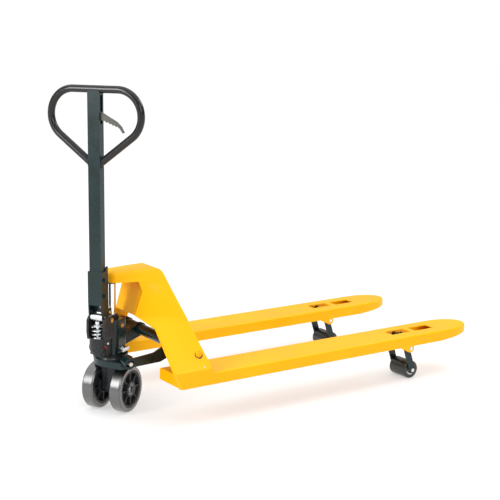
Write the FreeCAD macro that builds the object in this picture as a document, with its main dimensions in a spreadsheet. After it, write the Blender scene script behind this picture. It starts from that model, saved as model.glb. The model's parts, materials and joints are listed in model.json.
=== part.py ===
import FreeCAD, Part
import math
import os
import re

import Sketcher

# Hand pallet truck, forks raised, millimetres, +Z up, +X from the steering side towards the fork tips.
# It is drawn about the steering axis, which is also the lift ram's axis, with the floor at z = 0.
# Pieces of the steering unit are drawn straight ahead, with the handle towards -X, and then turned.

SIZES = {
    # forks
    "fork_span": 685, "fork_width": 160, "fork_top": 195, "fork_depth": 45, "fork_skin": 4.5,
    "fork_corner": 8, "heel_front": 105, "fork_tip": 1572, "nose_length": 132, "nose_bevel_back": 180,
    "nose_bevel_rise": 17, "lift_height": 115,
    "rod_window_back": 410, "rod_window_length": 98, "roller_window_back": 286,
    "roller_window_length": 102, "window_width": 52,
    # load rollers and their brackets
    "lug_back": 357, "lug_z": 141, "lug_radius": 17, "lug_run": 40, "lug_pin_radius": 8,
    "roller_radius": 37, "roller_width": 93, "axle_back": 322, "roller_core": 22,
    "roller_bearing_width": 15, "axle_radius": 8, "roller_side_gap": 2.5,
    "bracket_thick": 6, "bracket_eye": 14, "rod_crank": 38, "rod_pin_radius": 5, "rod_eye": 10,
    # tower
    "knee_x": 80, "knee_z": 212, "arch_outer_x": 102, "arch_outer_y": 172, "arch_outer_z": 340,
    "arch_inner_x": 60, "arch_inner_y": 75, "arch_inner_z": 378, "shoulder_x": 90, "shoulder_y": 80,
    "shoulder_z": 470, "neck_x": 78, "neck_y": 74, "rear_top_x": 182, "rear_top_y": 60,
    "rear_foot_x": 237, "head_bottom": 507, "head_top": 548, "head_front": 25, "head_nose_half": 50,
    "head_round": 26, "head_corner": 30, "head_slope": 14, "head_skin": 6, "wall_plate": 5, "lip": 15,
    "back_plate_bottom": 302,
    # rocker and push rods
    "rocker_x": 203, "rocker_z": 258, "tube_radius": 22, "bush_wall": 3, "bush_length": 26,
    "tube_inset": 85.5,
    "rocker_pin_radius": 12, "arm_inner": 130, "arm_thick": 16, "arm_eye": 21,
    "arm_depth": 15, "slot_back": 8.5, "slot_ahead": 5, "slot_play": 2.1,
    "pin_inset": 38.5, "pin_grip": 17, "short_arm_thick": 6, "rod_inset": 18,
    "rod_thick": 10, "rod_bar": 14, "rod_bar_z": 167, "rod_play": 1.2, "rod_blade_bottom": 155,
    # thrust plate and steering
    "thrust_bottom": 185, "thrust_thick": 25, "thrust_nose": 66, "thrust_half": 112, "ear_z": 215,
    "ear_pin_inner": 100, "bearing_radius": 52,
    "ear_radius": 19, "ear_pin_radius": 8, "ear_pin_half": 152, "spigot_radius": 29.7,
    "bearing_height": 6, "steer_turn": 31, "fit_gap": 0.3, "running_gap": 0.05,
    # wheels
    "wheel_radius": 90, "wheel_width": 50, "wheel_spacing": 119.5, "wheel_axle_radius": 12.5,
    "tread_depth": 17, "hub_bore": 21, "wheel_bearing_width": 13, "leg_half": 27, "cap_radius": 15,
    "axle_boss": 26, "axle_reach": 6, "cap_thick": 4,
    # pump and ram
    "ram_radius": 17.5, "ram_bottom": 345, "collar_height": 9, "collar_radius": 24, "cylinder_top": 370,
    "cylinder_radius": 28, "reservoir_half": 46, "reservoir_round": 25, "reservoir_top": 363,
    "flange_radius": 62, "flange_thick": 10, "pump_x": 98.4, "pump_block_half": 33, "pump_block_top": 309,
    "barrel_bottom": 238, "barrel_shoulder": 262, "barrel_foot": 20, "pump_bore": 13,
    "pump_bore_bottom": 247,
    "well_radius": 27, "well_floor": 270, "ear_plate": 9.5, "ear_top": 388,
    "plunger_radius": 8, "spring_radius": 21, "spring_wire": 3, "spring_pitch": 14, "spring_top": 352,
    # handle
    "pivot_x": 66, "pivot_z": 371, "pivot_radius": 9, "drawbar_wide": 50, "drawbar_deep": 30,
    "drawbar_wall": 3, "base_skin": 5, "base_top": 562, "base_front_bottom": 434, "horn_top": 578,
    "roller_pin_z": 386, "press_roller_radius": 14, "grip_z": 1231, "grip_radius": 14, "grip_round": 94,
    "grip_half": 189, "grip_foot_z": 963, "lever_pin_z": 1188, "lever_thick": 12, "lever_reach": 119,
    "lever_drop": 62, "lever_root_z": 1141, "bolt_head": 2, "bolt_radius": 5, "bolt_head_radius": 9,
    "bolt_low": 470, "bolt_high": 530, "press_pin_radius": 5, "lever_pin_radius": 4, "lever_pin_y": 12,
}
DERIVED = {
    "fork_bottom": "=fork_top - fork_depth",
    "fork_middle": "=(fork_span - fork_width) / 2",
    "rod_line": "=fork_middle - rod_inset",
    "tube_half": "=fork_span / 2 - tube_inset",
    "rocker_pin_half": "=fork_span / 2 - pin_inset",
    "lug_x": "=fork_tip - lug_back",
    "axle_x": "=fork_tip - axle_back",
    "rod_window_start": "=fork_tip - rod_window_back",
    "roller_window_start": "=fork_tip - roller_window_back",
    "nose_bevel_start": "=fork_tip - nose_bevel_back",
    "nose_start": "=fork_tip - nose_length",
    "thrust_top": "=thrust_bottom + thrust_thick",
    "flange_bottom": "=thrust_top + bearing_height",
    "flange_top": "=flange_bottom + flange_thick",
    "bracket_inner": "=roller_width / 2 + roller_side_gap",
    "track": "=wheel_spacing / 2",
    "centre_x": "=(fork_tip - pump_x * cos(steer_turn) - (grip_half - grip_round) * sin(steer_turn)"
                " - grip_round * sin(steer_turn) - grip_radius) / 2",
    # swing of the rocker and of the brackets over the whole lift
    "arm_low": "=rocker_z - ear_z",
    "arm_high": "=lift_height - arm_low",
    "arm_long": "=sqrt(arm_low ^ 2 + rocker_x ^ 2)",
    "rocker_turn": "=(atan(arm_low / rocker_x) + atan(arm_high / rocker_x)) / 1deg",
    "axle_drop": "=lug_z - roller_radius",
    "axle_run": "=axle_x - lug_x",
    "bracket_length": "=sqrt(axle_drop ^ 2 + axle_run ^ 2)",
    "bracket_turn": "=(atan(axle_drop / axle_run) + asin((lift_height - axle_drop) / bracket_length)) / 1deg",
    "crank_turn": "=bracket_turn / 2",
    "rod_stroke": "=2 * rod_crank * sin(crank_turn)",
    "short_arm_turn": "=rocker_turn / 2",
    "short_arm": "=rod_stroke / (2 * sin(short_arm_turn))",
    "rear_pin_x": "=rocker_x + rod_stroke / 2",
    "rear_pin_z": "=rocker_z - short_arm * cos(short_arm_turn)",
    "front_pin_x": "=lug_x + rod_stroke / 2",
    "front_pin_z": "=lug_z + rod_crank * cos(crank_turn)",
}

doc = FreeCAD.newDocument("PalletTruck")
sheet = doc.addObject("Spreadsheet::Sheet", "Sizes")
for row, (alias, content) in enumerate({**SIZES, **DERIVED}.items(), start=1):
    sheet.set(f"A{row}", alias)
    sheet.set(f"B{row}", str(content))
    sheet.setAlias(f"B{row}", alias)
doc.recompute()

WORD = re.compile(r"[a-z][a-z_0-9]*")
UP = FreeCAD.Vector(0, 0, 1)
TO_AXIS = {
    "X": FreeCAD.Rotation(FreeCAD.Vector(0, 1, 0), 90),
    "Y": FreeCAD.Rotation(FreeCAD.Vector(1, 0, 0), -90),
    "Z": FreeCAD.Rotation(),
}
PIECES = []


def tied(expression):
    """The expression with every alias read from the sheet."""
    known = {**SIZES, **DERIVED}
    return WORD.sub(lambda word: "Sizes." + word[0] if word[0] in known else word[0], str(expression))


def value(expression):
    """The expression's value in millimetres, for shapes made by Part's own functions."""
    return float(sheet.evalExpression(str(expression)))


def bind(thing, links):
    """Ties properties of an object to the sheet."""
    for name, expression in links.items():
        thing.setExpression(name, tied(expression))
    return thing


def box(x, y, z):
    """Block between pairs of bounds."""
    block = doc.addObject("Part::Box", "Block")
    sides = {"Length": x, "Width": y, "Height": z}
    bind(block, {side: f"({high}) - ({low})" for side, (low, high) in sides.items()})
    corner = {"x": x, "y": y, "z": z}
    return bind(block, {f"Placement.Base.{axis}": bounds[0] for axis, bounds in corner.items()})


def rod(axis, centre, span, radius):
    """Cylinder along an axis; centre gives the other two coordinates in order."""
    drum = doc.addObject("Part::Cylinder", "Rod")
    drum.Placement = FreeCAD.Placement(FreeCAD.Vector(), TO_AXIS[axis])
    bind(drum, {"Radius": radius, "Height": f"({span[1]}) - ({span[0]})"})
    places = list(centre)
    places.insert("XYZ".index(axis), span[0])
    return bind(drum, {f"Placement.Base.{name}": place for name, place in zip("xyz", places)})


def cone(centre, span, radii):
    """Upright cone between two radii."""
    taper = doc.addObject("Part::Cone", "Taper")
    bind(taper, {"Radius1": radii[0], "Radius2": radii[1], "Height": f"({span[1]}) - ({span[0]})"})
    places = (centre[0], centre[1], span[0])
    return bind(taper, {f"Placement.Base.{name}": place for name, place in zip("xyz", places)})


def cut(base, *tools):
    """Base with the tools taken away."""
    result = doc.addObject("Part::Cut", "Cut")
    result.Base = base
    result.Tool = tools[0] if len(tools) == 1 else fuse(*tools)
    return result


def fuse(*solids):
    """One solid from several."""
    result = doc.addObject("Part::MultiFuse", "Fusion")
    result.Shapes = list(solids)
    result.Refine = True
    return result


def group(*solids):
    """Separate solids that share a node."""
    result = doc.addObject("Part::Compound", "Group")
    result.Links = list(solids)
    return result


def ring(axis, centre, span, outer, inner):
    """Tube along an axis."""
    return cut(rod(axis, centre, span, outer), rod(axis, centre, span, inner))


def drawn(plane, outline):
    """Body with a closed sketch of straight lines on one of its origin planes."""
    body = doc.addObject("PartDesign::Body", "Body")
    sketch = body.newObject("Sketcher::SketchObject", "Outline")
    roles = {feature.Role: feature for feature in body.Origin.OriginFeatures}
    sketch.AttachmentSupport = (roles[plane + "_Plane"], [""])
    sketch.MapMode = "FlatFace"
    corners = [FreeCAD.Vector(value(across), value(along), 0) for across, along in outline]
    for index, corner in enumerate(corners):
        sketch.addGeometry(Part.LineSegment(corner, corners[(index + 1) % len(corners)]), False)
    for index, (across, along) in enumerate(outline):
        ahead = (index + 1) % len(outline)
        sketch.addConstraint(Sketcher.Constraint("Coincident", index, 2, ahead, 1))
        for kind, place, number in (("DistanceX", across, corners[index].x),
                                    ("DistanceY", along, corners[index].y)):
            mark = sketch.addConstraint(Sketcher.Constraint(kind, -1, 1, index, 1, number))
            sketch.setExpression(f"Constraints[{mark}]", tied(place))
    return body, sketch


def plate(plane, outline, span):
    """Flat plate: an outline on XY, XZ or YZ, padded between two places on the third axis."""
    body, sketch = drawn(plane, outline)
    start = f"-({span[1]})" if plane == "XZ" else span[0]
    bind(sketch, {"AttachmentOffset.Base.z": start})
    pad = body.newObject("PartDesign::Pad", "Pad")
    pad.Profile = sketch
    bind(pad, {"Length": f"({span[1]}) - ({span[0]})"})
    body.Tip = pad
    return body


def turned(outline, axis_place):
    """Solid of revolution about a line along Y: outline of (distance from the line, y) corners."""
    body, sketch = drawn("XY", outline)
    spin = body.newObject("PartDesign::Revolution", "Revolution")
    spin.Profile = sketch
    spin.ReferenceAxis = (sketch, ["V_Axis"])
    spin.Angle = 360
    body.Tip = spin
    body.Placement = FreeCAD.Placement()
    return bind(body, {f"Placement.Base.{name}": place for name, place in zip("xz", axis_place)})


def shaped(shape):
    """Feature that holds a shape made by Part's own functions."""
    feature = doc.addObject("Part::Feature", "Shaped")
    feature.Shape = shape
    return feature


def rounded(base, radius, wanted):
    """Base with the edges that a test picks rounded."""
    doc.recompute()
    fillet = doc.addObject("Part::Fillet", "Rounding")
    fillet.Base = base
    size = value(radius)
    fillet.Edges = [(n, size, size) for n, edge in enumerate(base.Shape.Edges, start=1) if wanted(edge)]
    return fillet


def piece(label, thing, steered=False):
    """Names a finished sub-part and puts it in the part's own frame."""
    node = group(thing) if thing.TypeId == "Part::Feature" or thing.ExpressionEngine else thing
    node.Label = label
    if steered:
        node.Placement = FreeCAD.Placement(FreeCAD.Vector(), FreeCAD.Rotation(UP, value("steer_turn")))
        bind(node, {"Placement.Rotation.Angle": "steer_turn"})
    bind(node, {"Placement.Base.x": "-centre_x"})
    PIECES.append(node)


def mixed(low, high, share):
    """Point a share of the way from one to another."""
    return tuple(a + (b - a) * share for a, b in zip(low, high))


def loft(sections):
    """Solid with straight flanks through level polygons of (x, y, z) corners."""
    wires = []
    for corners in sections:
        points = [FreeCAD.Vector(*corner) for corner in corners]
        wires.append(Part.makePolygon(points + points[:1]))
    return Part.makeLoft(wires, True, True)


def rear(height):
    """Rear edge of the near side wall at a height, as (x, distance from the middle plane)."""
    share = max(0.0, (height - value("knee_z")) / (value("head_top") - value("knee_z")))
    foot = (value("rear_foot_x"), value("fork_span / 2"))
    return mixed(foot, (value("rear_top_x"), value("rear_top_y")), share)


def front_line():
    """Front edge of the side wall from the floor side up, as (x, distance from the middle, height)."""
    return [
        (value("heel_front"), value("fork_span / 2"), value("fork_bottom")),
        (value("knee_x"), value("fork_span / 2"), value("knee_z")),
        (value("arch_outer_x"), value("arch_outer_y"), value("arch_outer_z")),
        (value("arch_inner_x"), value("arch_inner_y"), value("arch_inner_z")),
        (value("shoulder_x"), value("shoulder_y"), value("shoulder_z")),
        (value("neck_x"), value("neck_y"), value("head_bottom")),
    ]


# how much wider a leaning wall is when cut level, for its slope of 0.83 in 1
LEAN = math.hypot(1, 0.83)


def side_wall(side):
    """Tower wall with its rolled front lip, on one side of the middle plane."""
    skin = value("wall_plate")
    wall, lip = [], []
    for x, half, height in front_line():
        end = rear(height)
        run, rise = end[0] - x, end[1] - half
        length = math.hypot(run, rise)
        depth = skin if height <= value("knee_z") else skin * LEAN
        across = (rise / length * depth, -run / length * depth)
        wall.append([(x, side * half, height), (end[0], side * end[1], height),
                     (end[0] + across[0], side * (end[1] + across[1]), height),
                     (x + across[0], side * (half + across[1]), height)])
        if height <= value("arch_inner_z"):
            reach = value("lip") if height < value("arch_inner_z") else skin
            fold = (-0.3 * reach, -0.95 * reach)
            lip.append([(x, side * half, height), (x + skin, side * half - side * 1.5, height),
                        (x + skin + fold[0], side * (half + fold[1]), height),
                        (x + fold[0], side * (half + fold[1]), height)])
    hole = Part.makeCylinder(value("rocker_pin_radius"), 400, FreeCAD.Vector(value("rocker_x"), 0,
                             value("rocker_z")), FreeCAD.Vector(0, side, 0))
    return loft(wall).fuse(loft(lip)).cut(hole)


def head_shell():
    """Hollow head over the ram, open below."""
    bottom, top = value("head_bottom"), value("head_top")

    def outline(inset, low, height):
        nose, front = value("head_nose_half") - inset, -value("head_front") + inset
        if low:
            half, back = rear(bottom)[1] - inset, rear(bottom)[0] - inset
            half_outline = [(front, nose), (value("neck_x"), value("neck_y") - inset), (back, half)]
        else:
            half_outline = [(front, nose - 3), (value("neck_x"), value("rear_top_y") - 4 - inset),
                            (value("rear_top_x") - inset, value("rear_top_y") - inset)]
        return [(x, -y, height) for x, y in half_outline] + [(x, y, height) for x, y in half_outline[::-1]]

    skin = value("head_skin")
    outer = loft([outline(0, True, bottom), outline(0, False, top)])
    upright = [edge for edge in outer.Edges if max(v.X for v in edge.Vertexes) < 4 - value("head_front")
               and abs(edge.Vertexes[0].Z - edge.Vertexes[-1].Z) > 10]
    outer = outer.makeFillet(value("head_corner"), upright)
    rim = [edge for edge in outer.Edges if min(v.Z for v in edge.Vertexes) > top - 1]
    outer = outer.makeFillet(value("head_round"), rim)
    inner = loft([outline(skin, True, bottom - 1), outline(skin + value("head_slope"), False, top - skin)])
    ram_room = Part.makeCylinder(value("ram_radius"), top - skin - bottom + 1,
                                 FreeCAD.Vector(0, 0, bottom - 1))
    return outer.cut(inner).cut(ram_room)


def back_plate():
    """Load backrest between the rear edges of the two walls."""
    skin, sections = value("wall_plate"), []
    for height in (value("back_plate_bottom"), value("head_bottom")):
        x, half = rear(height)
        half -= skin * 1.6
        sections.append([(x - skin, -half, height), (x, -half, height), (x, half, height),
                         (x - skin, half, height)])
    return loft(sections)


def fork(side):
    """Fork channel with its nose, windows and load-end lugs."""
    near, far = f"{side} * fork_middle - fork_width / 2", f"{side} * fork_middle + fork_width / 2"
    middle = f"{side} * fork_middle"

    def nose(inset, bottom, top):
        rim = doc.addObject("Part::Ellipse", "Rim")
        bind(rim, {"MajorRadius": f"nose_length - {inset}", "MinorRadius": f"fork_width / 2 - {inset}",
                   "Placement.Base.x": "nose_start", "Placement.Base.y": middle,
                   "Placement.Base.z": bottom})
        block = doc.addObject("Part::Extrusion", "Nose")
        block.Base, block.Solid, block.DirMode, block.Dir = rim, True, "Custom", UP
        return bind(block, {"LengthFwd": f"({top}) - ({bottom})"})

    def wedge(raise_by, lead):
        return plate("XZ", [(f"nose_bevel_start - {lead}", f"fork_bottom + {raise_by}"),
                            (f"fork_tip + {lead}", f"fork_bottom + nose_bevel_rise + {raise_by}"),
                            (f"fork_tip + {lead}", "fork_bottom - 20"),
                            (f"nose_bevel_start - {lead}", "fork_bottom - 20")],
                     (f"{near} - 5", f"{far} + 5"))

    straight = box(("heel_front", "nose_start"), (near, far), ("fork_bottom", "fork_top"))
    solid = fuse(straight, nose("0", "fork_bottom", "fork_top"))
    top = value("fork_top")
    solid = rounded(solid, "fork_corner", lambda edge: all(abs(v.Z - top) < 1e-6 for v in edge.Vertexes)
                    and abs(edge.BoundBox.ZMax - top) < 1e-6 and edge.BoundBox.XMax > value("heel_front") + 1)
    solid = cut(solid, wedge("0", "0"))
    channel = box(("heel_front - 1", "nose_bevel_start"), (f"{near} + fork_skin", f"{far} - fork_skin"),
                  ("fork_bottom - 1", "fork_top - fork_skin"))
    hollow_front = cut(fuse(box(("nose_bevel_start - 1", "nose_start"),
                                (f"{near} + fork_skin", f"{far} - fork_skin"),
                                ("fork_bottom - 1", "fork_top - fork_skin")),
                            nose("fork_skin", "fork_bottom - 1", "fork_top - fork_skin")),
                       wedge("fork_skin", "0"))
    windows = [box((start, f"{start} + {length}"),
                   (f"{middle} - window_width / 2", f"{middle} + window_width / 2"),
                   ("fork_top - 20", "fork_top + 1"))
               for start, length in (("rod_window_start", "rod_window_length"),
                                     ("roller_window_start", "roller_window_length"))]
    arm_slot = box(("rocker_x - 48", "rear_foot_x + 3"),
                   (f"{side} * rod_line - 20", f"{side} * rod_line + 20"),
                   ("fork_top - 20", "fork_top + 1"))
    heel_hole = plate("XY", [("heel_front + wall_plate + 3", f"{side} * (fork_span / 2 - 22)"),
                             ("heel_front + 58", f"{side} * (fork_span / 2 - 22)"),
                             ("heel_front + wall_plate + 3", f"{side} * (fork_span / 2 - 66)")],
                      ("fork_top - 20", "fork_top + 1"))
    outer_edge = far if side > 0 else near
    reach = ("-wall_plate", "1") if side > 0 else ("-1", "wall_plate")
    wall_room = box(("heel_front - 1", "rear_foot_x"),
                    (f"{outer_edge} + {reach[0]}", f"{outer_edge} + {reach[1]}"),
                    ("fork_bottom - 1", "fork_top + 1"))
    lugs = []
    for span in ((near, f"{near} + fork_skin"), (f"{far} - fork_skin", far)):
        lugs.append(rod("Y", ("lug_x", "lug_z"), span, "lug_radius"))
        lugs.append(plate("XZ",
                          [("lug_x - lug_run - lug_radius", "fork_bottom"),
                           ("lug_x - 4", "lug_z - lug_radius"),
                                 ("lug_x", "lug_z"), ("lug_x + lug_radius", "fork_bottom")], span))
    body = cut(solid, channel, hollow_front, *windows, arm_slot, wall_room, heel_hole)
    return cut(fuse(body, *lugs),
               rod("Y", ("lug_x", "lug_z"), (f"{near} - 1", f"{far} + 1"), "lug_pin_radius"))


SIDES = {"right": -1, "left": 1}

# load frame
walls = {side: shaped(side_wall(side)) for side in SIDES.values()}
for name, side in SIDES.items():
    piece(f"fork_{name}", fork(side))
    piece(f"side_wall_{name}", walls[side])
piece("head", shaped(head_shell()))
piece("back_plate", cut(shaped(back_plate()), *walls.values()))
piece("web_plate", plate("XZ", [
    ("arch_inner_x", "arch_inner_z"), ("arch_inner_x + wall_plate", "arch_inner_z"),
    ("shoulder_x + wall_plate", "shoulder_z"), ("shoulder_x + 27", "head_bottom"),
    ("shoulder_x + 20", "head_bottom"), ("shoulder_x", "shoulder_z")],
    ("6 - arch_inner_y", "arch_inner_y - 6")))
heels = []
for side in SIDES.values():
    middle = f"{side} * fork_middle"
    slab = box(("heel_front", "heel_front + wall_plate"),
               (f"{middle} - fork_width / 2 + fork_skin", f"{middle} + fork_width / 2 - fork_skin"),
               ("fork_bottom", "fork_top - fork_skin"))
    heels.append(cut(slab, walls[side]))
piece("heel_plates", group(*heels))
piece("lug_pins", group(*[rod("Y", ("lug_x", "lug_z"), (f"{side} * fork_middle - fork_width / 2 - 2",
                                                       f"{side} * fork_middle + fork_width / 2 + 2"),
                                                           "lug_pin_radius")
                          for side in SIDES.values()]))
piece("rocker_pins", group(rod("Y", ("rocker_x", "rocker_z"), ("-rocker_pin_half", "pin_grip - tube_half"),
                               "rocker_pin_radius"),
                           rod("Y", ("rocker_x", "rocker_z"), ("tube_half - pin_grip", "rocker_pin_half"),
                               "rocker_pin_radius")))
piece("ram", rod("Z", ("0", "0"), ("ram_bottom", "head_top - head_skin"), "ram_radius"))
piece("ram_collar", ring("Z", ("0", "0"), ("head_bottom - collar_height", "head_bottom"),
                         "collar_radius", "ram_radius"))

# rocker: torsion tube, two lift arms, two clevis arms that work the push rods
piece("torsion_tube", ring("Y", ("rocker_x", "rocker_z"), ("-tube_half", "tube_half"),
                           "tube_radius", "rocker_pin_radius + bush_wall"))
piece("rocker_bushes", group(*[
    ring("Y", ("rocker_x", "rocker_z"), span, "rocker_pin_radius + bush_wall",
         "rocker_pin_radius + running_gap")
    for span in (("-tube_half", "bush_length - tube_half"), ("tube_half - bush_length", "tube_half"))]))


def along_arm(way, across):
    """Place on the lift arm, measured from the ear pin towards the pivot and across that line."""
    return (f"(({way}) * rocker_x - ({across}) * arm_low) / arm_long",
            f"ear_z + (({way}) * arm_low + ({across}) * rocker_x) / arm_long")


for name, side in SIDES.items():
    span = ("arm_inner", "arm_inner + arm_thick") if side > 0 else ("-arm_inner - arm_thick", "-arm_inner")
    blade = plate("XZ", [("-4", "ear_z - arm_depth"), ("130", "ear_z - arm_depth + 4"),
                         ("rocker_x + 12", "rocker_z - tube_radius"),
                         ("rocker_x", "rocker_z + tube_radius"),
                         ("rocker_x - 20", "rocker_z + tube_radius - 4"), ("105", "ear_z + arm_depth + 10"),
                         ("-4", "ear_z + arm_depth")], span)
    eye = rod("Y", along_arm("-2.5", "0"), span, "arm_eye")
    boss = rod("Y", ("rocker_x", "rocker_z"), span, "tube_radius + 5")
    through = (f"{span[0]} - 1", f"{span[1]} + 1")
    slot_half = "ear_pin_radius + slot_play"
    slot_flanks = plate("XZ",
                        [along_arm("-slot_back", f"-({slot_half})"),
                         along_arm("slot_ahead", f"-({slot_half})"),
                               along_arm("slot_ahead", slot_half), along_arm("-slot_back", slot_half)],
                               through)
    slot_ends = [rod("Y", along_arm(end, "0"), through, slot_half) for end in ("-slot_back", "slot_ahead")]
    hub_bore = rod("Y", ("rocker_x", "rocker_z"), through, "tube_radius")
    piece(f"lift_arm_{name}", cut(fuse(blade, eye, boss), slot_flanks, *slot_ends, hub_bore))
cranks, crank_pins = [], []
for side in SIDES.values():
    line = f"{side} * rod_line"
    for inner in ("rod_thick / 2 + 1", "-rod_thick / 2 - 1 - short_arm_thick"):
        span = (f"{line} + {inner}", f"{line} + {inner} + short_arm_thick")
        through = (f"{span[0]} - 1", f"{span[1]} + 1")
        strip = plate("XZ", [("rocker_x - tube_radius - 3", "rocker_z - 4"), ("rear_pin_x - rod_eye",
            "rear_pin_z - 2"),
                             ("rear_pin_x + rod_eye", "rear_pin_z - 2"),
                             ("rocker_x + tube_radius + 3", "rocker_z - 4")],
                      span)
        web = fuse(strip, rod("Y", ("rocker_x", "rocker_z"), span, "tube_radius + 4"),
                   rod("Y", ("rear_pin_x", "rear_pin_z"), span, "rod_eye"))
        cranks.append(cut(web, rod("Y", ("rocker_x", "rocker_z"), through, "tube_radius"),
                          rod("Y", ("rear_pin_x", "rear_pin_z"), through, "rod_pin_radius")))
    reach = "(rod_thick / 2 + 1 + short_arm_thick)"
    crank_pins.append(rod("Y", ("rear_pin_x", "rear_pin_z"), (f"{line} - {reach}", f"{line} + {reach}"),
                          "rod_pin_radius"))
piece("rod_cranks", group(*cranks))
piece("rod_rear_pins", group(*crank_pins))

# push rods, roller brackets and load rollers
for name, side in SIDES.items():
    middle, line = f"{side} * fork_middle", f"{side} * rod_line"
    half_span = (f"{line} - rod_thick / 2", f"{line} + rod_thick / 2")
    bar = box(("rear_pin_x + rod_eye + 8", "front_pin_x - rod_eye - 8"),
              (f"{line} - rod_bar / 2", f"{line} + rod_bar / 2"),
              ("rod_bar_z - rod_bar / 2", "rod_bar_z + rod_bar / 2"))
    blades = [box(("rear_pin_x - 12", "rear_pin_x + 12"), half_span,
                  ("rod_blade_bottom", "rear_pin_z + 12")),
              box(("rear_pin_x", "rear_pin_x + rod_eye + 20"), half_span,
                  ("rod_blade_bottom", "fork_top - fork_skin - 3")),
              box(("front_pin_x - rod_eye - 20", "front_pin_x + 12"), half_span,
                  ("rod_blade_bottom + 5", "front_pin_z + 14.5"))]
    slots = []
    for centre, low, high in (("rear_pin_x", "-4", "1"), ("front_pin_x", "-1", "9")):
        height = "rear_pin_z" if centre == "rear_pin_x" else "front_pin_z"
        wide = (f"{half_span[0]} - 4", f"{half_span[1]} + 4")
        slots.append(box((f"{centre} - rod_pin_radius - rod_play", f"{centre} + rod_pin_radius + rod_play"),
                         wide,
                         (f"{height} + {low}", f"{height} + {high}")))
        slots += [rod("Y", (centre, f"{height} + {shift}"), wide,
                      "rod_pin_radius + rod_play") for shift in (low, high)]
    piece(f"push_rod_{name}", cut(fuse(bar, *blades), *slots))
    cheeks = []
    for sign in (-1, 1):
        inner, outer = "bracket_inner", "(bracket_inner + bracket_thick)"
        span = (f"{middle} + {inner}", f"{middle} + {outer}") if sign > 0 else (f"{middle} - {outer}",
            f"{middle} - {inner}")
        long = (f"{span[0]} - 1", f"{span[1]} + 1")
        link = plate("XZ", [("lug_x - 15", "lug_z - 2"), ("axle_x - bracket_eye", "roller_radius - 4"),
                            ("axle_x + bracket_eye", "roller_radius + 4"), ("lug_x + 15", "lug_z + 2"),
                            ("front_pin_x + rod_eye - 1", "front_pin_z - 3"),
                            ("front_pin_x - rod_eye + 1", "front_pin_z + 3")], span)
        cheek = fuse(link, rod("Y", ("axle_x", "roller_radius"), span, "bracket_eye"),
                     rod("Y", ("lug_x", "lug_z"), span, "bracket_eye + 1"),
                     rod("Y", ("front_pin_x", "front_pin_z"), span, "rod_eye"))
        cheeks.append(cut(cheek, rod("Y", ("axle_x", "roller_radius"), long, "axle_radius"),
                          rod("Y", ("lug_x", "lug_z"), long, "lug_pin_radius + running_gap"),
                          rod("Y", ("front_pin_x", "front_pin_z"), long, "rod_pin_radius")))
    piece(f"roller_bracket_{name}", group(*cheeks))
    pin_reach = "(bracket_inner + bracket_thick)"
    piece(f"bracket_pins_{name}", group(
        rod("Y", ("front_pin_x", "front_pin_z"), (f"{middle} - {pin_reach}", f"{middle} + {pin_reach}"),
            "rod_pin_radius"),
        rod("Y", ("axle_x", "roller_radius"),
            (f"{middle} - {pin_reach} - 4", f"{middle} + {pin_reach} + 4"),
            "axle_radius")))
    tyre = turned([("roller_core", "-roller_width / 2"), ("roller_radius - 3", "-roller_width / 2"),
                   ("roller_radius", "3 - roller_width / 2"), ("roller_radius", "roller_width / 2 - 3"),
                   ("roller_radius - 3", "roller_width / 2"), ("roller_core", "roller_width / 2")],
                   ("axle_x", "roller_radius"))
    piece(f"load_roller_{name}", bind(tyre, {"Placement.Base.y": middle}))
    piece(f"roller_bearings_{name}", group(*[
        ring("Y", ("axle_x", "roller_radius"), span, "roller_core", "axle_radius + running_gap")
        for span in ((f"{middle} - roller_width / 2 + 2",
                      f"{middle} - roller_width / 2 + 2 + roller_bearing_width"),
                     (f"{middle} + roller_width / 2 - 2 - roller_bearing_width",
                      f"{middle} + roller_width / 2 - 2"))]))

# thrust plate under the pump
body = plate("XY", [("-thrust_nose", "-22"), ("-46", "-62"), ("-22", "-thrust_half"), ("30",
    "-thrust_half"),
                    ("64", "-50"), ("64", "50"), ("30", "thrust_half"), ("-22", "thrust_half"),
                    ("-46", "62"), ("-thrust_nose", "22")], ("thrust_bottom", "thrust_top"))
ears = [rod("Y", ("0", "ear_z"), span, "ear_radius")
        for span in (("-arm_inner + 4", "-1 - ear_pin_inner"), ("ear_pin_inner + 1", "arm_inner - 4"))]
plate_solid = cut(fuse(body, *ears),
                  rod("Z", ("0", "0"), ("thrust_bottom - 1", "thrust_top + 1"), "spigot_radius + fit_gap"),
                  *[rod("Y", ("0", "ear_z"), span,
                        "ear_pin_radius") for span in (("-arm_inner", "-ear_pin_inner"),
                            ("ear_pin_inner", "arm_inner"))])
piece("thrust_plate", plate_solid)
piece("ear_pins", group(rod("Y", ("0", "ear_z"), ("-ear_pin_half", "-ear_pin_inner"), "ear_pin_radius"),
                        rod("Y", ("0", "ear_z"), ("ear_pin_inner", "ear_pin_half"), "ear_pin_radius")))

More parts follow.
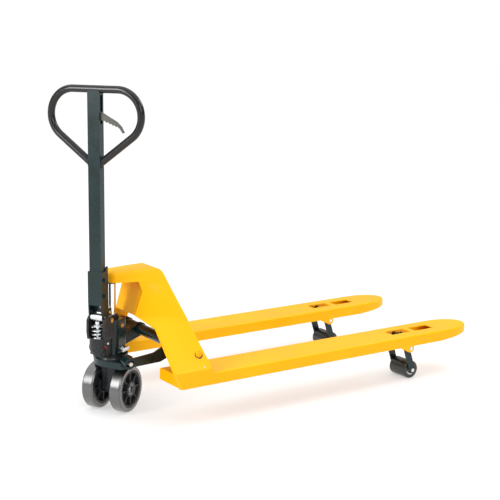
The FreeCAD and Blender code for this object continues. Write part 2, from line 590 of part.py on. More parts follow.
# steering unit, drawn straight ahead
piece("thrust_bearing", ring("Z", ("0", "0"), ("thrust_top + fit_gap", "flange_bottom"), "bearing_radius",
                             "spigot_radius"), True)
leg = fuse(rod("Z", ("0", "0"), ("100", "flange_bottom"), "spigot_radius"),
           plate("XZ", [("-24", "84"), ("24", "84"), ("28", "150"), ("20", "thrust_bottom - 2"),
                        ("-20", "thrust_bottom - 2"),
                        ("-28", "150")], ("-leg_half", "leg_half")),
           rod("Y", ("0", "wheel_radius"), ("-track + wheel_width / 2 + 1", "track - wheel_width / 2 - 1"),
               "axle_boss"),
           rod("Z", ("0", "0"), ("flange_bottom", "flange_top"), "flange_radius"))
barrel = fuse(rod("Z", ("-pump_x", "0"), ("barrel_shoulder", "pump_block_top"), "pump_block_half"),
              cone(("-pump_x", "0"), ("barrel_bottom", "barrel_shoulder"),
                   ("barrel_foot", "pump_block_half")),
              plate("XZ", [("-44", "flange_bottom + 2"), ("-72", "flange_top"), ("-pump_x - 12", "244"),
                           ("-pump_x", "pump_block_top"), ("-44", "pump_block_top")],
                    ("4 - pump_block_half", "pump_block_half - 4")))
ear_outline = [("-50", "pump_block_top - 8"), ("-112", "pump_block_top - 8"), ("-118", "330"),
               ("-116", "ear_top - 14"),
               ("-104", "ear_top"), ("-62", "ear_top"), ("-50", "ear_top - 12")]
ear_low, ear_high = "drawbar_wide / 2 + base_skin + 0.5", "drawbar_wide / 2 + base_skin + 0.5 + ear_plate"
ear_plates = [plate("XZ", ear_outline, (f"-({ear_high})", f"-({ear_low})")),
              plate("XZ", ear_outline, (ear_low, ear_high))]
casting = cut(fuse(leg, barrel, *ear_plates),
              rod("Y", ("0", "wheel_radius"), ("-60", "60"), "wheel_axle_radius"),
              rod("Z", ("-pump_x", "0"), ("well_floor", "pump_block_top + 1"), "well_radius"),
              rod("Z", ("-pump_x", "0"), ("pump_bore_bottom", "well_floor + 1"), "pump_bore"),
              rod("Y", ("-pivot_x", "pivot_z"), ("-60", "60"), "pivot_radius"),
              rod("Z", ("0", "0"), ("flange_top", "420"), "reservoir_half + 9"))
piece("pump_casting", casting, True)
round_box = rounded(box(("-reservoir_half", "reservoir_half"), ("-reservoir_half", "reservoir_half"),
                        ("flange_top", "reservoir_top")), "reservoir_round",
                    lambda edge: abs(edge.Vertexes[0].Z - edge.Vertexes[-1].Z) > 50)
piece("reservoir", cut(round_box, rod("Z", ("0", "0"), ("flange_top - 1", "reservoir_top + 1"),
                                      "cylinder_radius")), True)
piece("lift_cylinder", ring("Z", ("0", "0"), ("flange_top", "cylinder_top"), "cylinder_radius",
                            "ram_radius + fit_gap"), True)
piece("ram_seal", ring("Z", ("0", "0"), ("cylinder_top", "cylinder_top + 6"), "cylinder_radius - 3",
                       "ram_radius + running_gap"), True)
piece("pump_cylinder", ring("Z", ("-pump_x", "0"), ("pump_bore_bottom", "pump_block_top"), "pump_bore",
                            "plunger_radius + running_gap"), True)
piece("relief_valve", fuse(rod("Y", ("-20", "254"), ("-reservoir_half - 12", "-reservoir_half"), "7"),
                           rod("Y", ("-20", "254"), ("-reservoir_half - 17", "-reservoir_half - 12"), "4")),
                           True)
piece("filler_plug", fuse(rod("Y", ("-10", "340"), ("-reservoir_half - 8", "-reservoir_half"), "8"),
                          rod("Y", ("-10", "340"), ("-reservoir_half - 11", "-reservoir_half - 8"), "5")),
                          True)
piece("wheel_axle", rod("Y", ("0", "wheel_radius"), ("-track - wheel_width / 2 - axle_reach",
    "track + wheel_width / 2 + axle_reach"),
                        "wheel_axle_radius"), True)
piece("axle_caps", group(*[rod("Y", ("0", "wheel_radius"), span, "cap_radius") for span in (
    ("-track - wheel_width / 2 - axle_reach - cap_thick", "-track - wheel_width / 2 - axle_reach"),
    ("track + wheel_width / 2 + axle_reach", "track + wheel_width / 2 + axle_reach + cap_thick"))]), True)
piece("pivot_pin", rod("Y", ("-pivot_x", "pivot_z"), (f"-({ear_high}) - 3", f"{ear_high} + 3"),
                       "pivot_radius"), True)

# steering wheels
for name, side in SIDES.items():
    half = "wheel_width / 2"
    core = "wheel_radius - tread_depth"
    centre = f"{side} * track"
    hub = turned([("hub_bore", f"-({half})"), ("hub_bore + 9", f"-({half})"), ("hub_bore + 11", "-8"),
                  (f"{core} - 12", "-8"),
                  (f"{core} - 9", f"2 - {half}"), (core, f"2 - {half}"), (core, f"{half} - 2"),
                  (f"{core} - 9", f"{half} - 2"),
                  (f"{core} - 12", "8"), ("hub_bore + 11", "8"), ("hub_bore + 9", half),
                  ("hub_bore", half)],
                 ("0", "wheel_radius"))
    bind(hub, {"Placement.Base.y": centre})
    ribs = []
    for turn in range(0, 180, 45):
        rib = box(("14 - wheel_radius", "wheel_radius - 14"), ("-2.5", "2.5"),
                  (f"4 - {half}", f"{half} - 4"))
        holder = group(rib)
        holder.Placement = FreeCAD.Placement(FreeCAD.Vector(),
                                             FreeCAD.Rotation(FreeCAD.Vector(0, 1, 0), turn)
                                             * FreeCAD.Rotation(FreeCAD.Vector(1, 0, 0), 90))
        bind(holder, {"Placement.Base.y": centre, "Placement.Base.z": "wheel_radius"})
        ribs.append(holder)
    rib_zone = ring("Y", ("0", "wheel_radius"), (f"{centre} - {half} + 4", f"{centre} + {half} - 4"),
                    f"{core} - 6", "hub_bore + 5")
    trimmed = doc.addObject("Part::MultiCommon", "Ribs")
    trimmed.Shapes = [fuse(*ribs), rib_zone]
    piece(f"wheel_hub_{name}", fuse(hub, trimmed), True)
    tread = turned([(core, f"-({half})"), ("wheel_radius - 5", f"-({half})"),
                    ("wheel_radius", f"6 - {half}"),
                    ("wheel_radius", f"{half} - 6"), ("wheel_radius - 5", half), (core, half)],
                    ("0", "wheel_radius"))
    piece(f"tread_{name}", bind(tread, {"Placement.Base.y": centre}), True)
    piece(f"wheel_bearings_{name}", group(*[
        ring("Y", ("0", "wheel_radius"), span, "hub_bore", "wheel_axle_radius + running_gap")
        for span in ((f"{centre} - {half} + 1", f"{centre} - {half} + 1 + wheel_bearing_width"),
                     (f"{centre} + {half} - 1 - wheel_bearing_width", f"{centre} + {half} - 1"))]), True)

# pump plunger and its spring
stem = fuse(rod("Z", ("-pump_x", "0"), ("292", "362"), "plunger_radius"),
            cone(("-pump_x", "0"), ("spring_top", "spring_top + 7"), ("24", "15")),
            rod("Z", ("-pump_x", "0"), ("360", "roller_pin_z - press_roller_radius - 1"), "12"))
piece("plunger", stem, True)
helix = doc.addObject("Part::Helix", "Coil")
bind(helix,
     {"Radius": "spring_radius", "Pitch": "spring_pitch",
      "Height": "spring_top - well_floor - 2 * spring_wire - 1"})
wire_round = doc.addObject("Part::Circle", "Wire")
wire_round.Placement = FreeCAD.Placement(FreeCAD.Vector(), TO_AXIS["Y"])
bind(wire_round, {"Radius": "spring_wire", "Placement.Base.x": "spring_radius"})
coil = doc.addObject("Part::Sweep", "Spring")
coil.Sections, coil.Spine, coil.Solid, coil.Frenet = [wire_round], (helix, ["Edge1"]), True, True
seated = group(coil)
bind(seated, {"Placement.Base.x": "-pump_x", "Placement.Base.z": "well_floor + spring_wire + 0.5"})
piece("pump_spring", group(seated), True)

# handle
inner_half, outer_half = "drawbar_wide / 2", "drawbar_wide / 2 + base_skin"
bar_back, bar_front = "drawbar_deep / 2 - pump_x", "-drawbar_deep / 2 - pump_x"
cheek_outline = [("-72", "horn_top"), ("-80", "horn_top"), ("-92", "base_top"),
                 (f"{bar_front} - base_skin", "base_top"),
                 (f"{bar_front} - base_skin", "base_front_bottom"), ("-116", "395"),
                 ("-108", "roller_pin_z - 12"),
                 ("-88", "roller_pin_z - 14"), ("-72", "pivot_z - 14"), ("-58", "pivot_z - 12"),
                 ("-52", "pivot_z"),
                 ("-56", "pivot_z + 12"), ("-70", "400")]
cheek_pair = [plate("XZ", cheek_outline, (f"-({outer_half})", f"-({inner_half})")),
              plate("XZ", cheek_outline, (inner_half, outer_half))]
front_wall = box((f"{bar_front} - base_skin", bar_front), (f"-({inner_half})", inner_half),
                 ("base_front_bottom", "base_top"))
bolt_holes = [rod("Y", ("-pump_x", height), ("-40", "40"), "bolt_radius") for height in ("bolt_low",
    "bolt_high")]
tie_plate = box((f"{bar_back} - drawbar_wall", bar_back), (f"-({inner_half})", inner_half),
                ("roller_pin_z + press_roller_radius + 2", "440"))
base = cut(fuse(*cheek_pair, front_wall, tie_plate),
           rod("Y", ("-pivot_x", "pivot_z"), ("-40", "40"), "pivot_radius + running_gap"),
           rod("Y", ("-pump_x", "roller_pin_z"), ("-40", "40"), "press_pin_radius"), *bolt_holes)
piece("handle_base", base, True)
piece("press_roller",
      ring("Y", ("-pump_x", "roller_pin_z"), ("0.5 - drawbar_wide / 2", "drawbar_wide / 2 - 0.5"),
                           "press_roller_radius", "press_pin_radius"), True)
piece("press_roller_pin", rod("Y", ("-pump_x", "roller_pin_z"), (f"-({outer_half})", outer_half),
                              "press_pin_radius"), True)
piece("base_bolts", group(*[
    fuse(rod("Y", ("-pump_x", height), (f"-({outer_half}) - bolt_head", f"{outer_half} + bolt_head"),
             "bolt_radius"),
         rod("Y", ("-pump_x", height), (f"-({outer_half}) - bolt_head", f"-({outer_half})"),
             "bolt_head_radius"),
         rod("Y", ("-pump_x", height), (outer_half, f"{outer_half} + bolt_head"), "bolt_head_radius"))
    for height in ("bolt_low", "bolt_high")]), True)


def grip_shape():
    """Closed hand loop: top bar, two round corners and two legs that run down to the drawbar."""
    x, top, bend = -value("pump_x"), value("grip_z"), value("grip_round")
    centre_y, centre_z = value("grip_half - grip_round"), top - bend
    foot_y, foot_z = value("drawbar_wide / 2 - 6"), value("grip_foot_z")
    span = math.hypot(centre_y - foot_y, centre_z - foot_z)
    lean = math.atan2(centre_z - foot_z, centre_y - foot_y) - math.asin(bend / span)
    leg = math.sqrt(span ** 2 - bend ** 2)
    touch_y, touch_z = foot_y + leg * math.cos(lean), foot_z + leg * math.sin(lean)
    half_way = lean / 2

    def point(y, z):
        return FreeCAD.Vector(x, y, z)

    def bulge(side):
        return point(side * (centre_y + bend * math.cos(half_way)), centre_z + bend * math.sin(half_way))

    edges = [
        Part.LineSegment(point(-foot_y, foot_z), point(-touch_y, touch_z)).toShape(),
        Part.Arc(point(-touch_y, touch_z), bulge(-1), point(-centre_y, top)).toShape(),
        Part.LineSegment(point(-centre_y, top), point(centre_y, top)).toShape(),
        Part.Arc(point(centre_y, top), bulge(1), point(touch_y, touch_z)).toShape(),
        Part.LineSegment(point(touch_y, touch_z), point(foot_y, foot_z)).toShape(),
    ]
    way = FreeCAD.Vector(0, -math.cos(lean), math.sin(lean))
    section = Part.Wire(Part.makeCircle(value("grip_radius"), point(-foot_y, foot_z), way))
    return Part.Wire(edges).makePipeShell([section], True, True)


bar_bounds = ((bar_front, bar_back), (f"-({inner_half})", inner_half))
loop = shaped(grip_shape())
piece("hand_loop", cut(loop, box(*bar_bounds, ("440", "grip_z - grip_radius - 20"))), True)
tube = cut(box(*bar_bounds, ("440", "grip_z - 4")),
           box((f"{bar_front} + drawbar_wall", f"{bar_back} - drawbar_wall"),
               (f"-({inner_half}) + drawbar_wall", f"{inner_half} - drawbar_wall"),
               ("439", "grip_z - grip_radius - 4")))
lever_slot = box(("-pump_x - lever_thick / 2 - 1", "-pump_x + lever_thick / 2 + 1"),
                 (f"-({inner_half}) - 1", f"-({inner_half}) + 5"),
                 ("lever_root_z - 34", "lever_pin_z + 22"))
piece("drawbar", cut(tube, loop, lever_slot, *bolt_holes, rod("X", ("lever_pin_y", "lever_pin_z"),
    ("-140", "-60"), "lever_pin_radius")), True)
piece("lever_pin", rod("X", ("lever_pin_y", "lever_pin_z"), (bar_front, bar_back), "lever_pin_radius"),
      True)
lever_outline = [("16", "lever_pin_z + 8"), ("4", "lever_pin_z + 8"), ("-18", "lever_root_z + 12"),
                 ("-29", "lever_root_z + 6"),
                 ("-60", "lever_root_z - 10"), ("-88", "lever_root_z - 24"), ("-108", "lever_root_z - 42"),
                 ("-lever_reach", "lever_root_z - lever_drop"),
                 ("4 - lever_reach", "lever_root_z - lever_drop - 2"),
                 ("-104", "lever_root_z - 48"), ("-94", "lever_root_z - 41"), ("-88", "lever_root_z - 42"),
                 ("-82", "lever_root_z - 36"), ("-75", "lever_root_z - 38"), ("-70", "lever_root_z - 32"),
                 ("-62", "lever_root_z - 33"), ("-57", "lever_root_z - 27"), ("-48", "lever_root_z - 28"),
                 ("-42", "lever_root_z - 22"), ("-29", "lever_root_z - 21"), ("-18", "lever_root_z - 18"),
                 ("-6", "lever_root_z + 2"), ("-2", "lever_pin_z - 24"), ("16", "lever_pin_z - 8")]
lever = plate("YZ", lever_outline, ("-pump_x - lever_thick / 2", "-pump_x + lever_thick / 2"))
piece("control_lever",
      cut(lever,
          rod("X", ("lever_pin_y", "lever_pin_z"), ("-140", "-60"),
              "lever_pin_radius + running_gap")), True)
piece("pull_rod", rod("Z", ("8.7 - pump_x", "-6"), ("420", "lever_root_z - 36"), "3"), True)
piece("release_arm", plate("XZ", [("-14", "236"), ("30", "236"), ("34", "244"), ("30", "250"),
                                  ("-14", "250")],
                           ("-reservoir_half - 12", "-reservoir_half - 4")), True)

doc.recompute()
faulty = [thing.Label for thing in doc.Objects if {"Invalid", "Error"} & set(thing.State)]
faulty += [node.Label for node in PIECES if node.Shape.isNull() or not node.Shape.isValid()]
if faulty:
    raise SystemExit(f"these did not build: {faulty}")
os.makedirs("parts", exist_ok=True)
for node in PIECES:
    node.Shape.exportStep(f"parts/{node.Label}.step")
print(len(PIECES), "sub-parts")
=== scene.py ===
"""Looks of a hand pallet truck with raised forks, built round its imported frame.

The truck stands on the floor at z = 0, in metres, with its fork tips towards +X. Every visible CAD piece is
replaced by a copy of its own shape with broken edges. Small trade parts, such as screw heads, bearing faces
and weld beads, are modelled once and placed by the frame's boxes, joints and surfaces.
"""

import json
import logging
import math
from collections.abc import Callable, Sequence
from dataclasses import dataclass, field
from enum import Enum

import bmesh
import bpy
from mathutils import Matrix, Vector
from mathutils.bvhtree import BVHTree


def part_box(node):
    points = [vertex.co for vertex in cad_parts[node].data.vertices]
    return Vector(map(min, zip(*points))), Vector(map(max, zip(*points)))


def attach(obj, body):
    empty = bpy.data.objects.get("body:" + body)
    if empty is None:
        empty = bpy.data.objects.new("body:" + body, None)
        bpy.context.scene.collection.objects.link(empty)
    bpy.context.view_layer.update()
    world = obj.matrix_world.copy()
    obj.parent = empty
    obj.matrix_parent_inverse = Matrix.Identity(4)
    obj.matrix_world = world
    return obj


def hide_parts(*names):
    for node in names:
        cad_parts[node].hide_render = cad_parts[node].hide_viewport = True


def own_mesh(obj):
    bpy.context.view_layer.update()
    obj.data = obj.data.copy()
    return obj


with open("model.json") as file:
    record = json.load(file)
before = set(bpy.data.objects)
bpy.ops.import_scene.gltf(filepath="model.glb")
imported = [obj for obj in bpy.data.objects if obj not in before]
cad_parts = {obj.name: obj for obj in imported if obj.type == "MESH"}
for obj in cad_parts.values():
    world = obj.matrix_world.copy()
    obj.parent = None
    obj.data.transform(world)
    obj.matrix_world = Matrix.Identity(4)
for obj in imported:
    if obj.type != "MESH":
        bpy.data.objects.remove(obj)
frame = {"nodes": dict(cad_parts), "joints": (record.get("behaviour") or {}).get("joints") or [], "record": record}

log = logging.getLogger("pallet_truck")
MM = 0.001
MERGE_GAP = 2e-6
SEAM_GAP = 1e-6
FLAT_DEGREES = 0.6
OUTSIDE = 300.0
MIX_FACTOR, MIX_A, MIX_B, MIX_RESULT = 0, 6, 7, 2
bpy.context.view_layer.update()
BODY_OF = {node: body for body, nodes in frame["record"]["behaviour"]["bodies"].items() for node in nodes}
SLOT_OF = {part["node"]: part["material_slot"] for part in frame["record"]["subparts"]}
JOINT = {joint["name"]: joint for joint in frame["joints"]}


# ---------------------------------------------------------------------------------------------------------
# finishes
# ---------------------------------------------------------------------------------------------------------

def linear(code: str) -> tuple[float, float, float, float]:
    """Turns an sRGB hex code into linear light.

    Args:
        code: Six hex digits after a hash sign.

    Returns:
        Red, green, blue and a full alpha.
    """
    parts = [int(code[place:place + 2], 16) / 255 for place in (1, 3, 5)]
    light = [part / 12.92 if part <= 0.04045 else ((part + 0.055) / 1.055) ** 2.4 for part in parts]
    return light[0], light[1], light[2], 1.0


def add_node(tree: bpy.types.NodeTree, kind: str, inputs: dict | None = None,
             **settings: object) -> bpy.types.Node:
    """Adds a shader node with its settings, values and links.

    Args:
        tree: The material's node tree.
        kind: Node type without the ShaderNode prefix.
        inputs: A value or an output socket for each input, by name or number.
        **settings: Properties of the node itself.

    Returns:
        The new node.
    """
    node = tree.nodes.new("ShaderNode" + kind)
    for name, setting in settings.items():
        setattr(node, name, setting)
    for key, content in (inputs or {}).items():
        if isinstance(content, bpy.types.NodeSocket):
            tree.links.new(content, node.inputs[key])
        else:
            node.inputs[key].default_value = content
    return node


class Grain(Enum):
    """How the fine relief of a surface came about."""

    PEEL = "sprayed"
    SAND = "sand cast"
    DRAWN = "drawn or ground along one way"
    MOULD = "moulded"


@dataclass(frozen=True)
class Finish:
    """A surface finish with two shades, a spread of roughness and a fine relief; sizes in millimetres.

    The patches set where the shades mix, and grime is a darker or paler film over a share of the surface.
    """

    name: str
    shade: str
    other: str
    patch: float
    rough: tuple[float, float]
    metallic: float = 0.0
    grain: Grain = Grain.PEEL
    grain_size: float = 4.0
    relief: float = 0.05
    coat: float = 0.0
    coat_rough: float = 0.05
    coat_ior: float = 1.5
    specular: float = 0.5
    grime: str = ""
    grime_share: float = 0.0

    def material(self) -> bpy.types.Material:
        """Makes the node material, once for each finish.

        Returns:
            The material, new or made before.
        """
        known = bpy.data.materials.get(self.name)
        if known:
            return known
        made = bpy.data.materials.new(self.name)
        made.use_nodes = True
        tree = made.node_tree
        tree.nodes.clear()
        place = add_node(tree, "TexCoord").outputs["Object"]
        patches = add_node(tree, "TexNoise", {"Vector": place, "Scale": 1 / (self.patch * MM), "Detail": 4.0,
                                              "Roughness": 0.55}).outputs["Fac"]
        spread = add_node(tree, "MapRange", {"Value": patches, "From Min": 0.35, "From Max": 0.65}).outputs[0]
        shades = {MIX_FACTOR: spread, MIX_A: linear(self.shade), MIX_B: linear(self.other)}
        colour = add_node(tree, "Mix", shades, data_type="RGBA").outputs[MIX_RESULT]
        if self.grime:
            marks = add_node(tree, "TexNoise", {"Vector": place, "Scale": 4 / (self.patch * MM),
                                                "Detail": 8.0, "Roughness": 0.7}).outputs["Fac"]
            share = add_node(tree, "MapRange", {"Value": marks, "From Min": 0.48, "From Max": 0.72,
                                                "To Max": self.grime_share}).outputs[0]
            shades = {MIX_FACTOR: share, MIX_A: colour, MIX_B: linear(self.grime)}
            colour = add_node(tree, "Mix", shades, data_type="RGBA").outputs[MIX_RESULT]
        rough = add_node(tree, "MapRange", {"Value": patches, "From Min": 0.3, "From Max": 0.7,
                                            "To Min": self.rough[0], "To Max": self.rough[1]}).outputs[0]
        shader = add_node(tree, "BsdfPrincipled", {
            "Base Color": colour, "Roughness": rough, "Metallic": self.metallic, "Coat Weight": self.coat,
            "Coat Roughness": self.coat_rough, "Coat IOR": self.coat_ior,
            "Normal": self.relief_normal(tree, place)})
        if not self.metallic:
            shader.inputs["Specular IOR Level"].default_value = self.specular
        add_node(tree, "OutputMaterial", {"Surface": shader.outputs[0]})
        return made

    def relief_normal(self, tree: bpy.types.NodeTree, place: bpy.types.NodeSocket) -> bpy.types.NodeSocket:
        """Adds the bump that belongs to the way the surface was made.

        Args:
            tree: The material's node tree.
            place: Object coordinates.

        Returns:
            The bumped normal.
        """
        scale = 1 / (self.grain_size * MM)
        if self.grain is Grain.DRAWN:
            run = add_node(tree, "Mapping", {"Vector": place, "Scale": (0.06, 1.0, 1.0)}).outputs[0]
            height = add_node(tree, "TexNoise", {"Vector": run, "Scale": scale, "Detail": 3.0}).outputs["Fac"]
        elif self.grain is Grain.SAND:
            sand = add_node(tree, "TexNoise", {"Vector": place, "Scale": scale, "Detail": 6.0,
                                               "Roughness": 0.65}).outputs["Fac"]
            pits = add_node(tree, "TexVoronoi", {"Vector": place, "Scale": scale * 0.6}).outputs["Distance"]
            height = add_node(tree, "Math", {0: sand, 1: pits}, operation="ADD").outputs[0]
        else:
            height = add_node(tree, "TexNoise", {"Vector": place, "Scale": scale,
                                                 "Detail": 2.0}).outputs["Fac"]
        return add_node(tree, "Bump", {"Height": height, "Distance": self.relief * MM,
                                       "Strength": 1.0}).outputs[0]


# Polyester powder coat baked on steel: deep yellow, glossy, with a faint orange peel, drawn 6 mm wide, about
# twice as coarse as the real one, so that it still breaks the reflections a little from a few metres.
YELLOW = Finish("yellow_powder_coat", "#FFB200", "#FFB800", 180, (0.32, 0.42), grain_size=6, relief=0.05,
                coat=0.08, coat_rough=0.1, specular=0.12)
# Air-dried machine enamel on tube and plate: blue-green black, semi-gloss, slightly uneven film.
DARK_ENAMEL = Finish("green_black_machine_enamel", "#07211D", "#0C262A", 60, (0.22, 0.34), grain_size=5,
                     relief=0.05, coat=0.15, coat_rough=0.1, specular=0.3, grime="#262C2E", grime_share=0.2)
# Satin enamel on fasteners and the ram's collar: neutral black.
SATIN_BLACK = Finish("satin_black_enamel", "#141415", "#1C1C1E", 25, (0.38, 0.5), grain_size=3, relief=0.04)
# Dipped plastic coat over the hand loop's tube: black, wet gloss, smooth and soft-edged highlights.
DIP_COAT = Finish("gloss_black_dip_coat", "#050506", "#0A0A0B", 40, (0.16, 0.24), grain_size=14, relief=0.06,
                  coat=0.3, coat_rough=0.08, specular=0.35)
# Sand-cast iron, oiled black: rough skin with pits and lighter rubbed grains.
CAST_IRON = Finish("oiled_sand_cast_iron", "#131517", "#1F2225", 22, (0.3, 0.48), metallic=0.25,
                   grain=Grain.SAND, grain_size=5, relief=0.7, grime="#5A5E62", grime_share=0.3)
# Cast iron milled flat and left bare: bright grey with tool marks along one way.
MILLED = Finish("milled_cast_iron", "#D8D8D4", "#B9B9B6", 12, (0.22, 0.34), metallic=1.0, grain=Grain.DRAWN,
                grain_size=1.6, relief=0.03)
# Zinc-plated steel: pale, slightly blue, soft sheen with cloudy patches.
ZINC = Finish("zinc_plated_steel", "#E4E6E8", "#CDD1D4", 9, (0.2, 0.36), metallic=1.0, grain=Grain.DRAWN,
              grain_size=1.5, relief=0.02)
# Hard chrome on a ground rod: mirror-bright with nearly no grain.
CHROME = Finish("hard_chrome", "#F2F2F2", "#E6E7E9", 15, (0.05, 0.1), metallic=1.0, grain=Grain.DRAWN,
                grain_size=1.2, relief=0.004)
# Oil-soaked sintered bronze bush: brown-gold, dull.
BRONZE = Finish("sintered_bronze", "#A8763F", "#8C5F31", 6, (0.4, 0.55), metallic=1.0, grain=Grain.SAND,
                grain_size=1.2, relief=0.05)
# Yellow-passivated steel: pale brass colour with a faint iridescent spread.
PASSIVATED = Finish("yellow_passivated_steel", "#E9C478", "#D9A95A", 7, (0.22, 0.34), metallic=1.0,
                    grain=Grain.DRAWN, grain_size=1.4, relief=0.02)
# Cast polyurethane or rubber tread, turned smooth: black, satin, with a broad soft reflection.
TREAD = Finish("turned_black_tread", "#0C0C0D", "#141415", 35, (0.3, 0.42), grain_size=3, relief=0.06,
               coat=1.0, coat_rough=0.27, coat_ior=1.9, specular=0.8, grime="#3A3A39", grime_share=0.15)
# Glass-filled nylon wheel centre, moulded: dull charcoal with fine texture.
NYLON_HUB = Finish("moulded_black_nylon", "#1A1C1D", "#242628", 18, (0.42, 0.58), grain=Grain.MOULD,
                   grain_size=2.5, relief=0.08, grime="#55585A", grime_share=0.2)
# Cast nylon load roller, turned: green-black and glossier than the wheels.
ROLLER = Finish("turned_green_black_nylon", "#101815", "#1A2521", 20, (0.24, 0.36), grain=Grain.MOULD,
                grain_size=3, relief=0.04, coat=0.3, coat_rough=0.2)
# Rubber lip of the roller's bearing seal: dull pink-grey dust shield.
SEAL = Finish("dusty_rose_seal", "#8E7C80", "#786A6E", 6, (0.45, 0.6), grain=Grain.MOULD, grain_size=1.5,
              relief=0.03)
# Moulded polyamide lever: warm olive grey, satin.
LEVER_GREY = Finish("olive_grey_polyamide", "#4A4A43", "#56564D", 15, (0.36, 0.48), grain=Grain.MOULD,
                    grain_size=2, relief=0.06)
# Nitrile wiper: soft black rubber.
WIPER = Finish("nitrile_rubber", "#161616", "#1E1E1E", 8, (0.5, 0.62), grain=Grain.MOULD, grain_size=1.5,
               relief=0.03)
# White acetal of the pump's knob.
ACETAL = Finish("white_acetal", "#F4F3EE", "#E6E4DD", 6, (0.24, 0.34), grain=Grain.MOULD, grain_size=1.5,
                relief=0.02)
# Red sealing lacquer dabbed on the pump.
LACQUER = Finish("red_sealing_lacquer", "#B3122A", "#8E0E22", 3, (0.2, 0.32), grain_size=1.5, relief=0.1,
                 coat=0.5)
# Near-black and rough: the dark shields of the wheels' bearings, and painted shade round the rocker pins, where a
# dark ring stands for the shadow gap that each pin comes through.
SHIELD_AND_SHADE_BLACK = Finish("blackened_recess", "#08090A", "#0D0E10", 5, (0.5, 0.65), grain_size=1.5, relief=0.03)

SLOT_FINISH = {
    "frame_paint": YELLOW, "dark_paint": DARK_ENAMEL, "black_paint": SATIN_BLACK, "gloss_black": DIP_COAT,
    "black_casting": CAST_IRON, "bright_steel": ZINC, "chrome": CHROME, "bronze": BRONZE, "brass": PASSIVATED,
    "black_rubber": TREAD, "hub_nylon": NYLON_HUB, "roller_nylon": ROLLER, "lever_plastic": LEVER_GREY,
    "seal_rubber": WIPER,
}


# ---------------------------------------------------------------------------------------------------------
# modelling helpers
# ---------------------------------------------------------------------------------------------------------

def pick_only(piece: bpy.types.Object) -> None:
    """Selects one object and makes it active.

    Args:
        piece: The object.
    """
    bpy.ops.object.select_all(action="DESELECT")
    piece.select_set(True)
    bpy.context.view_layer.objects.active = piece


def pick(piece: bpy.types.Object, mode: str, wanted: Callable[[bmesh.types.BMFace], bool]) -> None:
    """Selects the faces, edges or corners that a test picks; the piece is in edit mode.

    Args:
        piece: The object being edited.
        mode: FACE, EDGE or VERT.
        wanted: The test.
    """
    bpy.ops.mesh.select_mode(type=mode)
    bpy.ops.mesh.select_all(action="DESELECT")
    mesh = bmesh.from_edit_mesh(piece.data)
    for part in {"FACE": mesh.faces, "EDGE": mesh.edges, "VERT": mesh.verts}[mode]:
        part.select_set(bool(wanted(part)))
    mesh.select_flush_mode()
    bmesh.update_edit_mesh(piece.data)


def apply(piece: bpy.types.Object, kind: str, **settings: object) -> None:
    """Adds a modifier, sets it and applies it.

    Args:
        piece: The object to change.
        kind: The modifier's type.
        **settings: The modifier's own settings.
    """
    pick_only(piece)
    modifier = piece.modifiers.new(kind.title(), kind)
    for name, setting in settings.items():
        setattr(modifier, name, setting)
    bpy.ops.object.modifier_apply(modifier=modifier.name)


def smooth(piece: bpy.types.Object, sharp: float = 38.0) -> None:
    """Shades a piece smooth up to an angle and keeps its flat faces flat.

    Args:
        piece: The object to shade.
        sharp: The angle in degrees.
    """
    pick_only(piece)
    bpy.ops.object.shade_smooth_by_angle(angle=math.radians(sharp))
    apply(piece, "WEIGHTED_NORMAL", keep_sharp=True)


def dress(piece: bpy.types.Object, *finishes: Finish) -> None:
    """Gives a piece its materials.

    Args:
        piece: The object to dress.
        *finishes: Its finishes, in slot order.
    """
    piece.data.materials.clear()
    for finish in finishes:
        piece.data.materials.append(finish.material())


def refined(node: str, edge: float = 0.8, steps: int = 2, sharp: float = 30.0, *,
            finish: Finish | None = None) -> bpy.types.Object:
    """Copies a CAD node, merges its triangles, breaks its edges and lets the copy stand for it.

    Args:
        node: The CAD node.
        edge: Width of the broken edge in millimetres.
        steps: Facets across the broken edge.
        sharp: Smallest angle in degrees at which an edge is broken.
        finish: The finish, if it isn't the one of the node's slot.

    Returns:
        The copy, riding on the node's body.
    """
    piece = bpy.data.objects.new(f"{node}_finished", frame["nodes"][node].data.copy())
    bpy.context.scene.collection.objects.link(piece)
    pick_only(piece)
    bpy.ops.mesh.customdata_custom_splitnormals_clear()
    bpy.ops.object.mode_set(mode="EDIT")
    bpy.ops.mesh.select_all(action="SELECT")
    bpy.ops.mesh.remove_doubles(threshold=MERGE_GAP)
    bpy.ops.mesh.mark_sharp(clear=True)
    bpy.ops.mesh.dissolve_limited(angle_limit=math.radians(FLAT_DEGREES))
    bpy.ops.object.mode_set(mode="OBJECT")
    if edge:
        apply(piece, "BEVEL", width=edge * MM, segments=steps, limit_method="ANGLE",
              angle_limit=math.radians(sharp), use_clamp_overlap=True)
    smooth(piece)
    dress(piece, finish or SLOT_FINISH[SLOT_OF[node]])
    settle(piece, BODY_OF[node])
    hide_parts(node)
    return piece


def settle(piece: bpy.types.Object, body: str) -> None:
    """Makes a finished piece ride on its body.

    Args:
        piece: The finished piece.
        body: The body that it rides on.
    """
    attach(piece, body)
    log.info("%s rides on %s with %d faces", piece.name, body, len(piece.data.polygons))


def into_place(piece: bpy.types.Object, place: Matrix) -> None:
    """Moves a piece's mesh, so that its object stays at the origin.

    Args:
        piece: The piece to move.
        place: Where it goes.
    """
    piece.data.transform(piece.matrix_world)
    piece.data.transform(place)
    piece.matrix_world = Matrix.Identity(4)


def copied(piece: bpy.types.Object, name: str, place: Matrix) -> bpy.types.Object:
    """Copies a modelled piece with a mesh of its own and puts it in place.

    Args:
        piece: The piece to copy.
        name: Name of the copy.
        place: Where the copy goes.

    Returns:
        The copy.
    """
    twin = bpy.data.objects.new(name, piece.data.copy())
    bpy.context.scene.collection.objects.link(twin)
    into_place(twin, place)
    return twin


